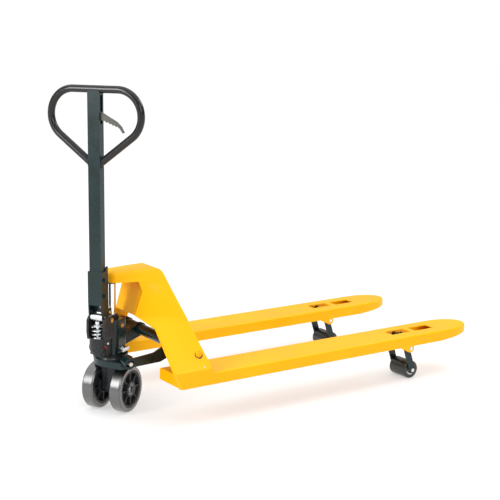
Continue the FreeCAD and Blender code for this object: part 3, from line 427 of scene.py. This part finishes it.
def joined(name: str, pieces: list[bpy.types.Object]) -> bpy.types.Object:
    """Joins pieces into one object with one mesh.

    Args:
        name: Name of the whole.
        pieces: The pieces; the first one takes in the others.

    Returns:
        The whole.
    """
    pick_only(pieces[0])
    for piece in pieces:
        piece.select_set(True)
    bpy.ops.object.join()
    whole = bpy.context.view_layer.objects.active
    whole.name = name
    return whole


def lathe(name: str, outline: Sequence[tuple[float, float]], steps: int = 48) -> bpy.types.Object:
    """Turns a closed outline all the way round Z.

    Args:
        name: Name of the piece.
        outline: Corners as (radius, height) in millimetres.
        steps: Facets round the turn.

    Returns:
        The turned piece, about the world's Z axis.
    """
    bpy.ops.object.select_all(action="DESELECT")
    bpy.ops.mesh.primitive_circle_add(vertices=len(outline), radius=MM, fill_type="NOTHING")
    piece = bpy.context.object
    piece.name = name
    for corner, (radius, height) in zip(piece.data.vertices, outline):
        corner.co = (radius * MM, 0.0, height * MM)
    bpy.ops.object.mode_set(mode="EDIT")
    bpy.ops.mesh.select_all(action="SELECT")
    bpy.ops.mesh.spin(steps=steps, angle=math.tau, center=(0, 0, 0), axis=(0, 0, 1), use_auto_merge=True)
    bpy.ops.mesh.select_all(action="SELECT")
    bpy.ops.mesh.remove_doubles(threshold=SEAM_GAP)
    bpy.ops.mesh.normals_make_consistent(inside=False)
    bpy.ops.object.mode_set(mode="OBJECT")
    return piece


def aimed(at: Vector, along: Vector) -> Matrix:
    """Place at a point, whose Z axis looks along a direction."""
    return Matrix.Translation(at) @ along.normalized().to_track_quat("Z", "Y").to_matrix().to_4x4()


@dataclass(frozen=True)
class Heading:
    """The steering unit's own directions: ahead from its axis to the handle, and across along its axles."""

    origin: Vector
    ahead: Vector
    across: Vector

    def at(self, ahead: float, across: float, height: float) -> Vector:
        """Point at distances in millimetres ahead of and across from the steering axis, above the floor."""
        return self.origin + (self.ahead * ahead + self.across * across + Vector((0, 0, height))) * MM


def heading() -> Heading:
    """Reads the steering unit's directions from the joints.

    Returns:
        The directions.
    """
    spot = JOINT["steering"]["pos_m"]
    return Heading(Vector((spot[0], spot[1], 0.0)), Vector(JOINT["control_lever_tilt"]["axis"]),
                   Vector(JOINT["handle_tilt"]["axis"]))


# ---------------------------------------------------------------------------------------------------------
# trade parts
# ---------------------------------------------------------------------------------------------------------

@dataclass
class Fasteners:
    """Screw heads, bearing faces and weld beads in millimetres, each modelled once and copied."""

    patterns: dict[str, bpy.types.Object] = field(default_factory=dict)

    def hex_head(self, across: float, height: float) -> bpy.types.Object:
        """Hexagon head on a washer, with its corners chamfered and a shallow dish on top.

        Args:
            across: Width across the flats.
            height: Height of the head above its washer.

        Returns:
            The pattern, its underside at z = 0.
        """
        key = f"hex_{across}_{height}"
        if key not in self.patterns:
            radius = across / math.sqrt(3)
            washer_top = 1.4
            bpy.ops.object.select_all(action="DESELECT")
            bpy.ops.mesh.primitive_cylinder_add(vertices=6, radius=radius * MM, depth=height * MM,
                                                location=(0, 0, (height / 2 + washer_top) * MM))
            head = bpy.context.object
            bpy.ops.object.transform_apply(location=True, rotation=True, scale=True)
            bpy.ops.object.mode_set(mode="EDIT")
            pick(head, "FACE", lambda face: face.normal.z > 0.9)
            bpy.ops.mesh.inset(thickness=radius * 0.16 * MM, depth=radius * 0.1 * MM)
            bpy.ops.mesh.inset(thickness=radius * 0.22 * MM, depth=-0.5 * MM)
            bpy.ops.object.mode_set(mode="OBJECT")
            apply(head, "BEVEL", width=0.35 * MM, segments=2, limit_method="ANGLE",
                  angle_limit=math.radians(25))
            washer = lathe("washer", [(0.5, 0.2), (radius * 1.25, 0.2), (radius * 1.32, 0.6),
                                      (radius * 1.25, washer_top), (0.5, washer_top)], 32)
            self.patterns[key] = self.keep(joined(key, [head, washer]))
        return self.patterns[key]

    def bearing(self, outer: float, inner: float, shield: Finish) -> bpy.types.Object:
        """Face of a ball bearing, looking along Z: chamfered outer race, sunk shield, raised inner race.

        Args:
            outer: Outer radius.
            inner: Radius of the bore.
            shield: Finish of the shield between the races.

        Returns:
            The pattern, already dressed.
        """
        key = f"bearing_{outer}_{inner}_{shield.name}"
        if key not in self.patterns:
            step = (outer - inner) / 8
            rings = (([(outer - 2 * step, -2.2), (outer - 0.1, -2.2), (outer - 0.1, 0.3), (outer - 0.6, 0.8),
                       (outer - 1.6 * step, 0.8), (outer - 2 * step, 0.2)], ZINC),
                     ([(inner + 2 * step, -2.0), (outer - 2 * step, -2.0), (outer - 2 * step, -0.5),
                       (outer - 3 * step, 0.0), (inner + 3 * step, 0.0), (inner + 2 * step, -0.5)], shield),
                     ([(inner, -2.2), (inner + 2 * step, -2.2), (inner + 2 * step, 0.5),
                       (inner + 1.6 * step, 1.1), (inner + 0.5, 1.1), (inner, 0.6)], ZINC))
            made = []
            for number, (outline, finish) in enumerate(rings):
                ring = lathe(f"race_{number}", outline, 56)
                dress(ring, finish)
                made.append(ring)
            self.patterns[key] = self.keep(joined(key, made))
        return self.patterns[key]

    def weld(self, radius: float, bead: float, stretch: float) -> bpy.types.Object:
        """Rippled weld bead round a tube's foot.

        Args:
            radius: Radius of the bead's middle line.
            bead: Half of the bead's width.
            stretch: How much longer it is along its own X axis.

        Returns:
            The pattern.
        """
        key = f"weld_{radius}_{bead}_{stretch}"
        if key not in self.patterns:
            bpy.ops.object.select_all(action="DESELECT")
            bpy.ops.mesh.primitive_torus_add(major_segments=120, minor_segments=12, major_radius=radius * MM,
                                             minor_radius=bead * MM)
            ring = bpy.context.object
            for corner in ring.data.vertices:
                turn = math.atan2(corner.co.y, corner.co.x)
                middle = Vector((math.cos(turn), math.sin(turn), 0)) * radius * MM
                ripple = 1 + 0.16 * math.cos(30 * turn + 2 * math.sin(3 * turn))
                corner.co = middle + (corner.co - middle) * ripple
                corner.co.x *= stretch
            self.patterns[key] = self.keep(ring)
        return self.patterns[key]

    def keep(self, pattern: bpy.types.Object) -> bpy.types.Object:
        """Smooths a pattern and takes it out of the scene until it is copied.

        Args:
            pattern: The modelled pattern.

        Returns:
            The same pattern.
        """
        smooth(pattern)
        for holder in list(pattern.users_collection):
            holder.objects.unlink(pattern)
        return pattern

    def place(self, pattern: bpy.types.Object, name: str, finish: Finish | None, body: str, slot: str,
              places: list[Matrix]) -> None:
        """Copies a pattern to each place, as one piece that is ready to ride.

        Args:
            pattern: The modelled fastener.
            name: Name of the new piece.
            finish: Its finish, or none for a pattern that has its own.
            body: The body that it rides on.
            slot: Not used.
            places: One matrix for each copy.
        """
        copies = [copied(pattern, f"{name}_{number}", place) for number, place in enumerate(places)]
        piece = joined(name, copies) if len(copies) > 1 else copies[0]
        piece.name = name
        if finish:
            dress(piece, finish)
        settle(piece, body)


FASTENERS = Fasteners()


def on_skin(node: str, start: Vector, along: Vector, lift: float = 0.0) -> Matrix:
    """Place on a CAD node's surface, looking out of it.

    Args:
        node: The CAD node.
        start: A point outside it, in metres.
        along: The way to look for the surface.
        lift: Height above the surface in millimetres.

    Returns:
        The place, with Z along the surface's outward normal.
    """
    mesh = frame["nodes"][node].data
    skin = BVHTree.FromPolygons([corner.co for corner in mesh.vertices],
                                [tuple(face.vertices) for face in mesh.polygons])
    spot, normal, _, _ = skin.ray_cast(start, along)
    if spot is None:
        raise ValueError(f"nothing of {node} lies that way")
    return aimed(spot + normal * lift * MM, normal)


def on_wall(place: Matrix, axis: Vector) -> Vector:
    """Finds where a line along Y through a point meets the plane that a place lies on.

    Args:
        place: A place on the plane, with Z along its normal.
        axis: The point that the line goes through.

    Returns:
        The meeting point.
    """
    normal = place.to_3x3() @ Vector((0, 0, 1))
    spot = place.translation
    drop = normal.x * (axis.x - spot.x) + normal.z * (axis.z - spot.z)
    return Vector((axis.x, spot.y - drop / normal.y, axis.z))


def middle_of(node: str) -> Vector:
    """Middle of a node's box."""
    low, high = (Vector(corner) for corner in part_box(node))
    return (low + high) / 2


# ---------------------------------------------------------------------------------------------------------
# sub-assemblies
# ---------------------------------------------------------------------------------------------------------

@dataclass
class LoadFrame:
    """Forks, tower and head in yellow, with the lugs' pins and the ram's collar; sizes in millimetres."""

    plate_edge: float = 0.9
    wall_edge: float = 1.6
    beside_pin: float = 14.5
    rivet_back: float = 4.0
    rivet_drop: float = 38.0
    # Outline of the dark ring of painted shade round each rocker pin, which stands for the shadow gap at the wall.
    pin_ring: tuple[tuple[float, float], ...] = ((11.5, -0.4), (15.6, -0.4), (15.2, 0.5), (11.5, 0.7))
    rivet: tuple[tuple[float, float], ...] = ((0.3, -0.5), (3.4, -0.5), (3.4, 0.4), (2.4, 1.3), (0.3, 1.6))

    def build(self) -> None:
        """Finishes the welded frame and its pins."""
        for side in ("right", "left"):
            refined(f"fork_{side}", self.plate_edge)
            refined(f"side_wall_{side}", self.wall_edge)
        refined("head", 1.2, 3)
        refined("back_plate", self.plate_edge)
        refined("web_plate", self.plate_edge)
        refined("heel_plates", self.plate_edge)
        refined("lug_pins", 1.2, 3)
        refined("rocker_pins", 2.0, 3, finish=YELLOW)
        refined("ram", 0.8)
        refined("ram_collar", 1.0, 3)
        # Painted shade: dark rings round the rocker pins in place of their shadow gaps.
        self.painted_pin_shades()
        self.rivets()

    def painted_pin_shades(self) -> None:
        """Adds painted shade round each rocker pin: a dark ring that stands for the shadow gap where the pin comes
        through the leaning wall.
        """
        axis = Vector(JOINT["rocker_turn"]["pos_m"])
        ring = FASTENERS.keep(lathe("pin_ring", self.pin_ring, 56))
        for side, way in (("right", 1.0), ("left", -1.0)):
            start = Vector((axis.x + self.beside_pin * MM, -way, axis.z))
            place = on_skin(f"side_wall_{side}", start, Vector((0, way, 0)))
            place.translation = on_wall(place, axis)
            # The ring is near-black painted shade, which stands for the shadow gap round the pin.
            FASTENERS.place(ring, f"pin_ring_{side}", SHIELD_AND_SHADE_BLACK, "frame", "black_paint", [place])

    def rivets(self) -> None:
        """Adds a small plated rivet low on each wall, near the fork."""
        axis = Vector(JOINT["rocker_turn"]["pos_m"])
        rivet = FASTENERS.keep(lathe("rivet", self.rivet, 32))
        for side, way in (("right", 1.0), ("left", -1.0)):
            start = Vector((axis.x + self.rivet_back * MM, -way, axis.z - self.rivet_drop * MM))
            place = on_skin(f"side_wall_{side}", start, Vector((0, way, 0)))
            FASTENERS.place(rivet, f"rivet_{side}", ZINC, "frame", "bright_steel", [place])


@dataclass
class Linkage:
    """Rocker, push rods, roller brackets and load rollers; radii in millimetres."""

    bearing_radius: float = 22.0
    bearing_bore: float = 8.1

    def build(self) -> None:
        """Finishes the linkage pieces."""
        for node in ("torsion_tube", "rocker_bushes", "lift_arm_right", "lift_arm_left", "rod_cranks",
                     "rod_rear_pins", "push_rod_right", "push_rod_left"):
            refined(node, 1.0)
        for side in ("right", "left"):
            refined(f"roller_bracket_{side}", 1.0)
            refined(f"bracket_pins_{side}", 1.0)
            refined(f"load_roller_{side}", 1.2, 3)
            refined(f"roller_bearings_{side}", 0.6)
            self.roller_faces(side)

    def roller_faces(self, side: str) -> None:
        """Adds bearing faces with rose seals in both ends of a load roller.

        Args:
            side: The roller's side, right or left.
        """
        middle = Vector(JOINT[f"load_roller_{side}_spin"]["pos_m"])
        low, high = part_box(f"roller_bearings_{side}")
        bearing = FASTENERS.bearing(self.bearing_radius, self.bearing_bore, SEAL)
        places = [aimed(Vector((middle.x, low[1], middle.z)), Vector((0, -1, 0))),
                  aimed(Vector((middle.x, high[1], middle.z)), Vector((0, 1, 0)))]
        FASTENERS.place(bearing, f"roller_faces_{side}", None, f"load_roller_{side}", "bright_steel", places)


@dataclass
class SteeringUnit:
    """Thrust plate, pump casting, reservoir, ram cylinder and the steering wheels; sizes in millimetres."""

    bearing_radius: float = 21.0
    bearing_bore: float = 12.6
    bearing_face: float = 24.0
    milled_above: float = 250.0
    milled_level: float = 0.97
    knob: tuple[tuple[float, float], ...] = ((0.2, -1.0), (3.0, -1.0), (3.0, 2.2), (4.6, 3.0), (4.8, 5.2),
                                             (3.8, 6.4), (0.2, 6.8))
    dab: tuple[tuple[float, float], ...] = ((0.2, -0.6), (3.6, -0.6), (3.9, 0.3), (2.6, 1.2), (0.2, 1.5))

    def build(self) -> None:
        """Finishes the steering unit."""
        refined("thrust_plate", 1.6, 3)
        refined("ear_pins", 1.0)
        refined("thrust_bearing", 0.6)
        casting = refined("pump_casting", 2.0, 3)
        dress(casting, CAST_IRON, MILLED)
        for face in casting.data.polygons:
            level = face.normal.z > self.milled_level
            face.material_index = int(level and face.center.z > self.milled_above * MM)
        for node in ("reservoir", "lift_cylinder", "ram_seal", "pump_cylinder", "relief_valve",
                     "filler_plug", "wheel_axle", "release_arm"):
            refined(node, 0.8)
        refined("pivot_pin", 0.8, finish=PASSIVATED)
        refined("axle_caps", 1.2, 3, finish=SATIN_BLACK)
        way = heading()
        for side in ("right", "left"):
            refined(f"wheel_hub_{side}", 0.8)
            refined(f"tread_{side}", 1.5, 3)
            refined(f"wheel_bearings_{side}", 0.6, finish=SATIN_BLACK)
            self.wheel_faces(side, way)
        refined("plunger", 0.8)
        self.spring()
        self.pump_marks()

    def spring(self) -> None:
        """Finishes the pump's spring and gives the finished copy a mesh of its own."""
        coil = refined("pump_spring", 0.0)
        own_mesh(coil)

    def wheel_faces(self, side: str, way: Heading) -> None:
        """Adds bearing faces with dark shields on both sides of a steering wheel.

        Args:
            side: The wheel's side, right or left.
            way: The steering unit's directions.
        """
        middle = Vector(JOINT[f"wheel_{side}_spin"]["pos_m"])
        bearing = FASTENERS.bearing(self.bearing_radius, self.bearing_bore, SHIELD_AND_SHADE_BLACK)
        reach = self.bearing_face * MM
        places = [aimed(middle + way.across * reach * sign, way.across * sign) for sign in (-1, 1)]
        FASTENERS.place(bearing, f"wheel_faces_{side}", None, f"wheel_{side}", "bright_steel", places)

    def pump_marks(self) -> None:
        """Adds a knob and two dabs of lacquer on the pump's side that across points to."""
        way = heading()
        knob = FASTENERS.keep(lathe("knob", self.knob, 32))
        dab = FASTENERS.keep(lathe("dab", self.dab, 28))
        marks = (("lowering_knob", knob, ACETAL, 84.0, 284.0), ("lacquer_upper", dab, LACQUER, 92.0, 268.0),
                 ("lacquer_lower", dab, LACQUER, 104.0, 276.0))
        for name, pattern, finish, ahead, height in marks:
            place = on_skin("pump_casting", way.at(ahead, OUTSIDE, height), -way.across)
            FASTENERS.place(pattern, name, finish, "steering_unit", "bright_steel", [place])


@dataclass
class Handle:
    """Handle base, drawbar, hand loop and release lever; sizes in millimetres."""

    loop_foot: float = 967.5
    below_loop: float = 60.0
    weld_radius: float = 15.2
    weld_bead: float = 2.3
    weld_stretch: float = 1.25
    bolt_heights: tuple[float, float] = (470.0, 530.0)
    bolt_flats: float = 13.0
    bolt_head: float = 4.0
    head_sink: float = 0.4

    def build(self) -> None:
        """Finishes the handle."""
        refined("handle_base", 1.2)
        refined("drawbar", 3.0, 4)
        refined("hand_loop", 0.0)
        for node in ("press_roller", "press_roller_pin", "base_bolts", "pull_rod"):
            refined(node, 0.6)
        refined("lever_pin", 0.6, finish=SATIN_BLACK)
        refined("control_lever", 2.2, 3)
        self.welds()
        self.bolt_heads()

    def welds(self) -> None:
        """Adds the weld beads where the hand loop's legs enter the drawbar's sides."""
        way = heading()
        up = Vector((0, 0, 1))
        ahead = (middle_of("drawbar") - way.origin).dot(way.ahead) / MM
        bead = FASTENERS.weld(self.weld_radius, self.weld_bead, self.weld_stretch)
        places = []
        for sign in (-1, 1):
            out = way.across * sign
            plain = way.at(ahead, OUTSIDE * sign, self.loop_foot - self.below_loop)
            side = on_skin("drawbar", plain, -out).translation
            turn = Matrix((up, out.cross(up), out)).transposed().to_4x4()
            places.append(Matrix.Translation((side.x, side.y, self.loop_foot * MM)) @ turn)
        FASTENERS.place(bead, "loop_welds", DARK_ENAMEL, "handle", "dark_paint", places)

    def bolt_heads(self) -> None:
        """Adds painted hexagon heads on both ends of the bolts through the handle's base."""
        way = heading()
        ahead = (middle_of("base_bolts") - way.origin).dot(way.ahead) / MM
        head = FASTENERS.hex_head(self.bolt_flats, self.bolt_head)
        places = []
        for height in self.bolt_heights:
            for sign in (-1, 1):
                start = way.at(ahead, OUTSIDE * sign, height)
                places.append(on_skin("base_bolts", start, -way.across * sign, -self.head_sink))
        FASTENERS.place(head, "base_bolt_heads", DARK_ENAMEL, "handle", "dark_paint", places)


@dataclass(frozen=True)
class Softbox:
    """A soft light: where it hangs, what it looks at, its width and height in metres, its power in watts."""

    name: str
    spot: tuple[float, float, float]
    target: tuple[float, float, float]
    sides: tuple[float, float]
    power: float

    def build(self) -> None:
        """Hangs the light."""
        light = bpy.data.lights.new(self.name, "AREA")
        light.shape = "RECTANGLE"
        light.size, light.size_y = self.sides
        light.energy = self.power
        lamp = bpy.data.objects.new(self.name, light)
        lamp.matrix_world = aimed(Vector(self.spot), Vector(self.spot) - Vector(self.target))
        bpy.context.scene.collection.objects.link(lamp)


@dataclass(frozen=True)
class Studio:
    """Camera, floor and soft lights under a white ceiling with dim side walls; metres and degrees."""

    eye: tuple[float, float, float] = (-2.783566, -3.87959, 1.51233)
    yaw: float = 58.69
    pitch: float = -11.55
    lens: float = 85.97
    shift: tuple[float, float] = (0.1585, 0.006)
    floor_half: float = 600.0
    floor_glow: float = 0.47
    sky: tuple[tuple[float, float], ...] = ((0.0, 1.06), (0.03, 1.06), (0.08, 0.38), (0.45, 0.64),
                                            (0.8, 1.32), (1.0, 1.65))
    sky_gain: float = 2.0
    boxes: tuple[Softbox, ...] = (
        Softbox("left_softbox", (-4.0, -0.17, 2.0), (-0.7, 0.0, 0.2), (1.0, 2.0), 60.0),
        Softbox("front_softbox", (-1.2, -5.5, 3.0), (0.1, 0.0, 0.3), (2.0, 2.0), 50.0),
        Softbox("overhead_softbox", (2.1, -0.9, 3.1), (0.2, -0.2, 0.2), (1.2, 1.2), 28.0),
    )

    def build(self) -> None:
        """Sets up the view, the floor and the lights."""
        self.camera()
        self.floor()
        self.ceiling()
        for softbox in self.boxes:
            softbox.build()
        bpy.context.scene.view_settings.view_transform = "Standard"

    def camera(self) -> None:
        """Puts the camera at the viewing angle."""
        lens = bpy.data.cameras.new("viewpoint")
        lens.lens = self.lens
        lens.shift_x, lens.shift_y = self.shift
        lens.clip_end = 4 * self.floor_half
        eye = bpy.data.objects.new("viewpoint", lens)
        yaw, pitch = math.radians(self.yaw), math.radians(self.pitch)
        look = Vector((math.cos(yaw) * math.cos(pitch), math.sin(yaw) * math.cos(pitch), math.sin(pitch)))
        eye.matrix_world = Matrix.Translation(self.eye) @ look.to_track_quat("-Z", "Y").to_matrix().to_4x4()
        bpy.context.scene.collection.objects.link(eye)
        bpy.context.scene.camera = eye

    def floor(self) -> None:
        """Lays the plain pale floor, which glows a little, so that shadows on it stay light."""
        bpy.ops.object.select_all(action="DESELECT")
        bpy.ops.mesh.primitive_plane_add(size=2 * self.floor_half, location=(0, 0, 0))
        floor = bpy.context.object
        floor.name = "floor"
        sheet = bpy.data.materials.new("pale_floor")
        sheet.use_nodes = True
        shader = sheet.node_tree.nodes["Principled BSDF"]
        shader.inputs["Base Color"].default_value = linear("#BEBEBE")
        shader.inputs["Emission Color"].default_value = linear("#FFFFFF")
        shader.inputs["Emission Strength"].default_value = self.floor_glow
        shader.inputs["Roughness"].default_value = 0.7
        shader.inputs["Specular IOR Level"].default_value = 0.1
        floor.data.materials.append(sheet)

    def ceiling(self) -> None:
        """Lights the surroundings: bright above, dim at the sides, pale where floor meets wall."""
        world = bpy.data.worlds.new("soft_studio")
        bpy.context.scene.world = world
        world.use_nodes = True
        tree = world.node_tree
        tree.nodes.clear()
        direction = add_node(tree, "TexCoord").outputs["Generated"]
        height = add_node(tree, "SeparateXYZ", {0: direction}).outputs["Z"]
        ramp = add_node(tree, "ValToRGB", {0: height})
        steps = ramp.color_ramp.elements
        for number, (place, strength) in enumerate(self.sky):
            step = steps[number] if number < 2 else steps.new(place)
            step.position = place
            shade = strength / self.sky_gain
            step.color = (shade, shade, shade, 1.0)
        glow = add_node(tree, "Background", {"Color": ramp.outputs[0], "Strength": self.sky_gain})
        add_node(tree, "OutputWorld", {"Surface": glow.outputs[0]})


def main() -> None:
    """Builds every sub-assembly in order and sets the studio."""
    logging.basicConfig(level=logging.INFO, format="%(name)s: %(message)s")
    bpy.ops.object.select_all(action="DESELECT")
    for assembly in (LoadFrame(), Linkage(), SteeringUnit(), Handle()):
        assembly.build()
        log.info("%s built", type(assembly).__name__)
    Studio().build()


if __name__ == "__main__":
    main()
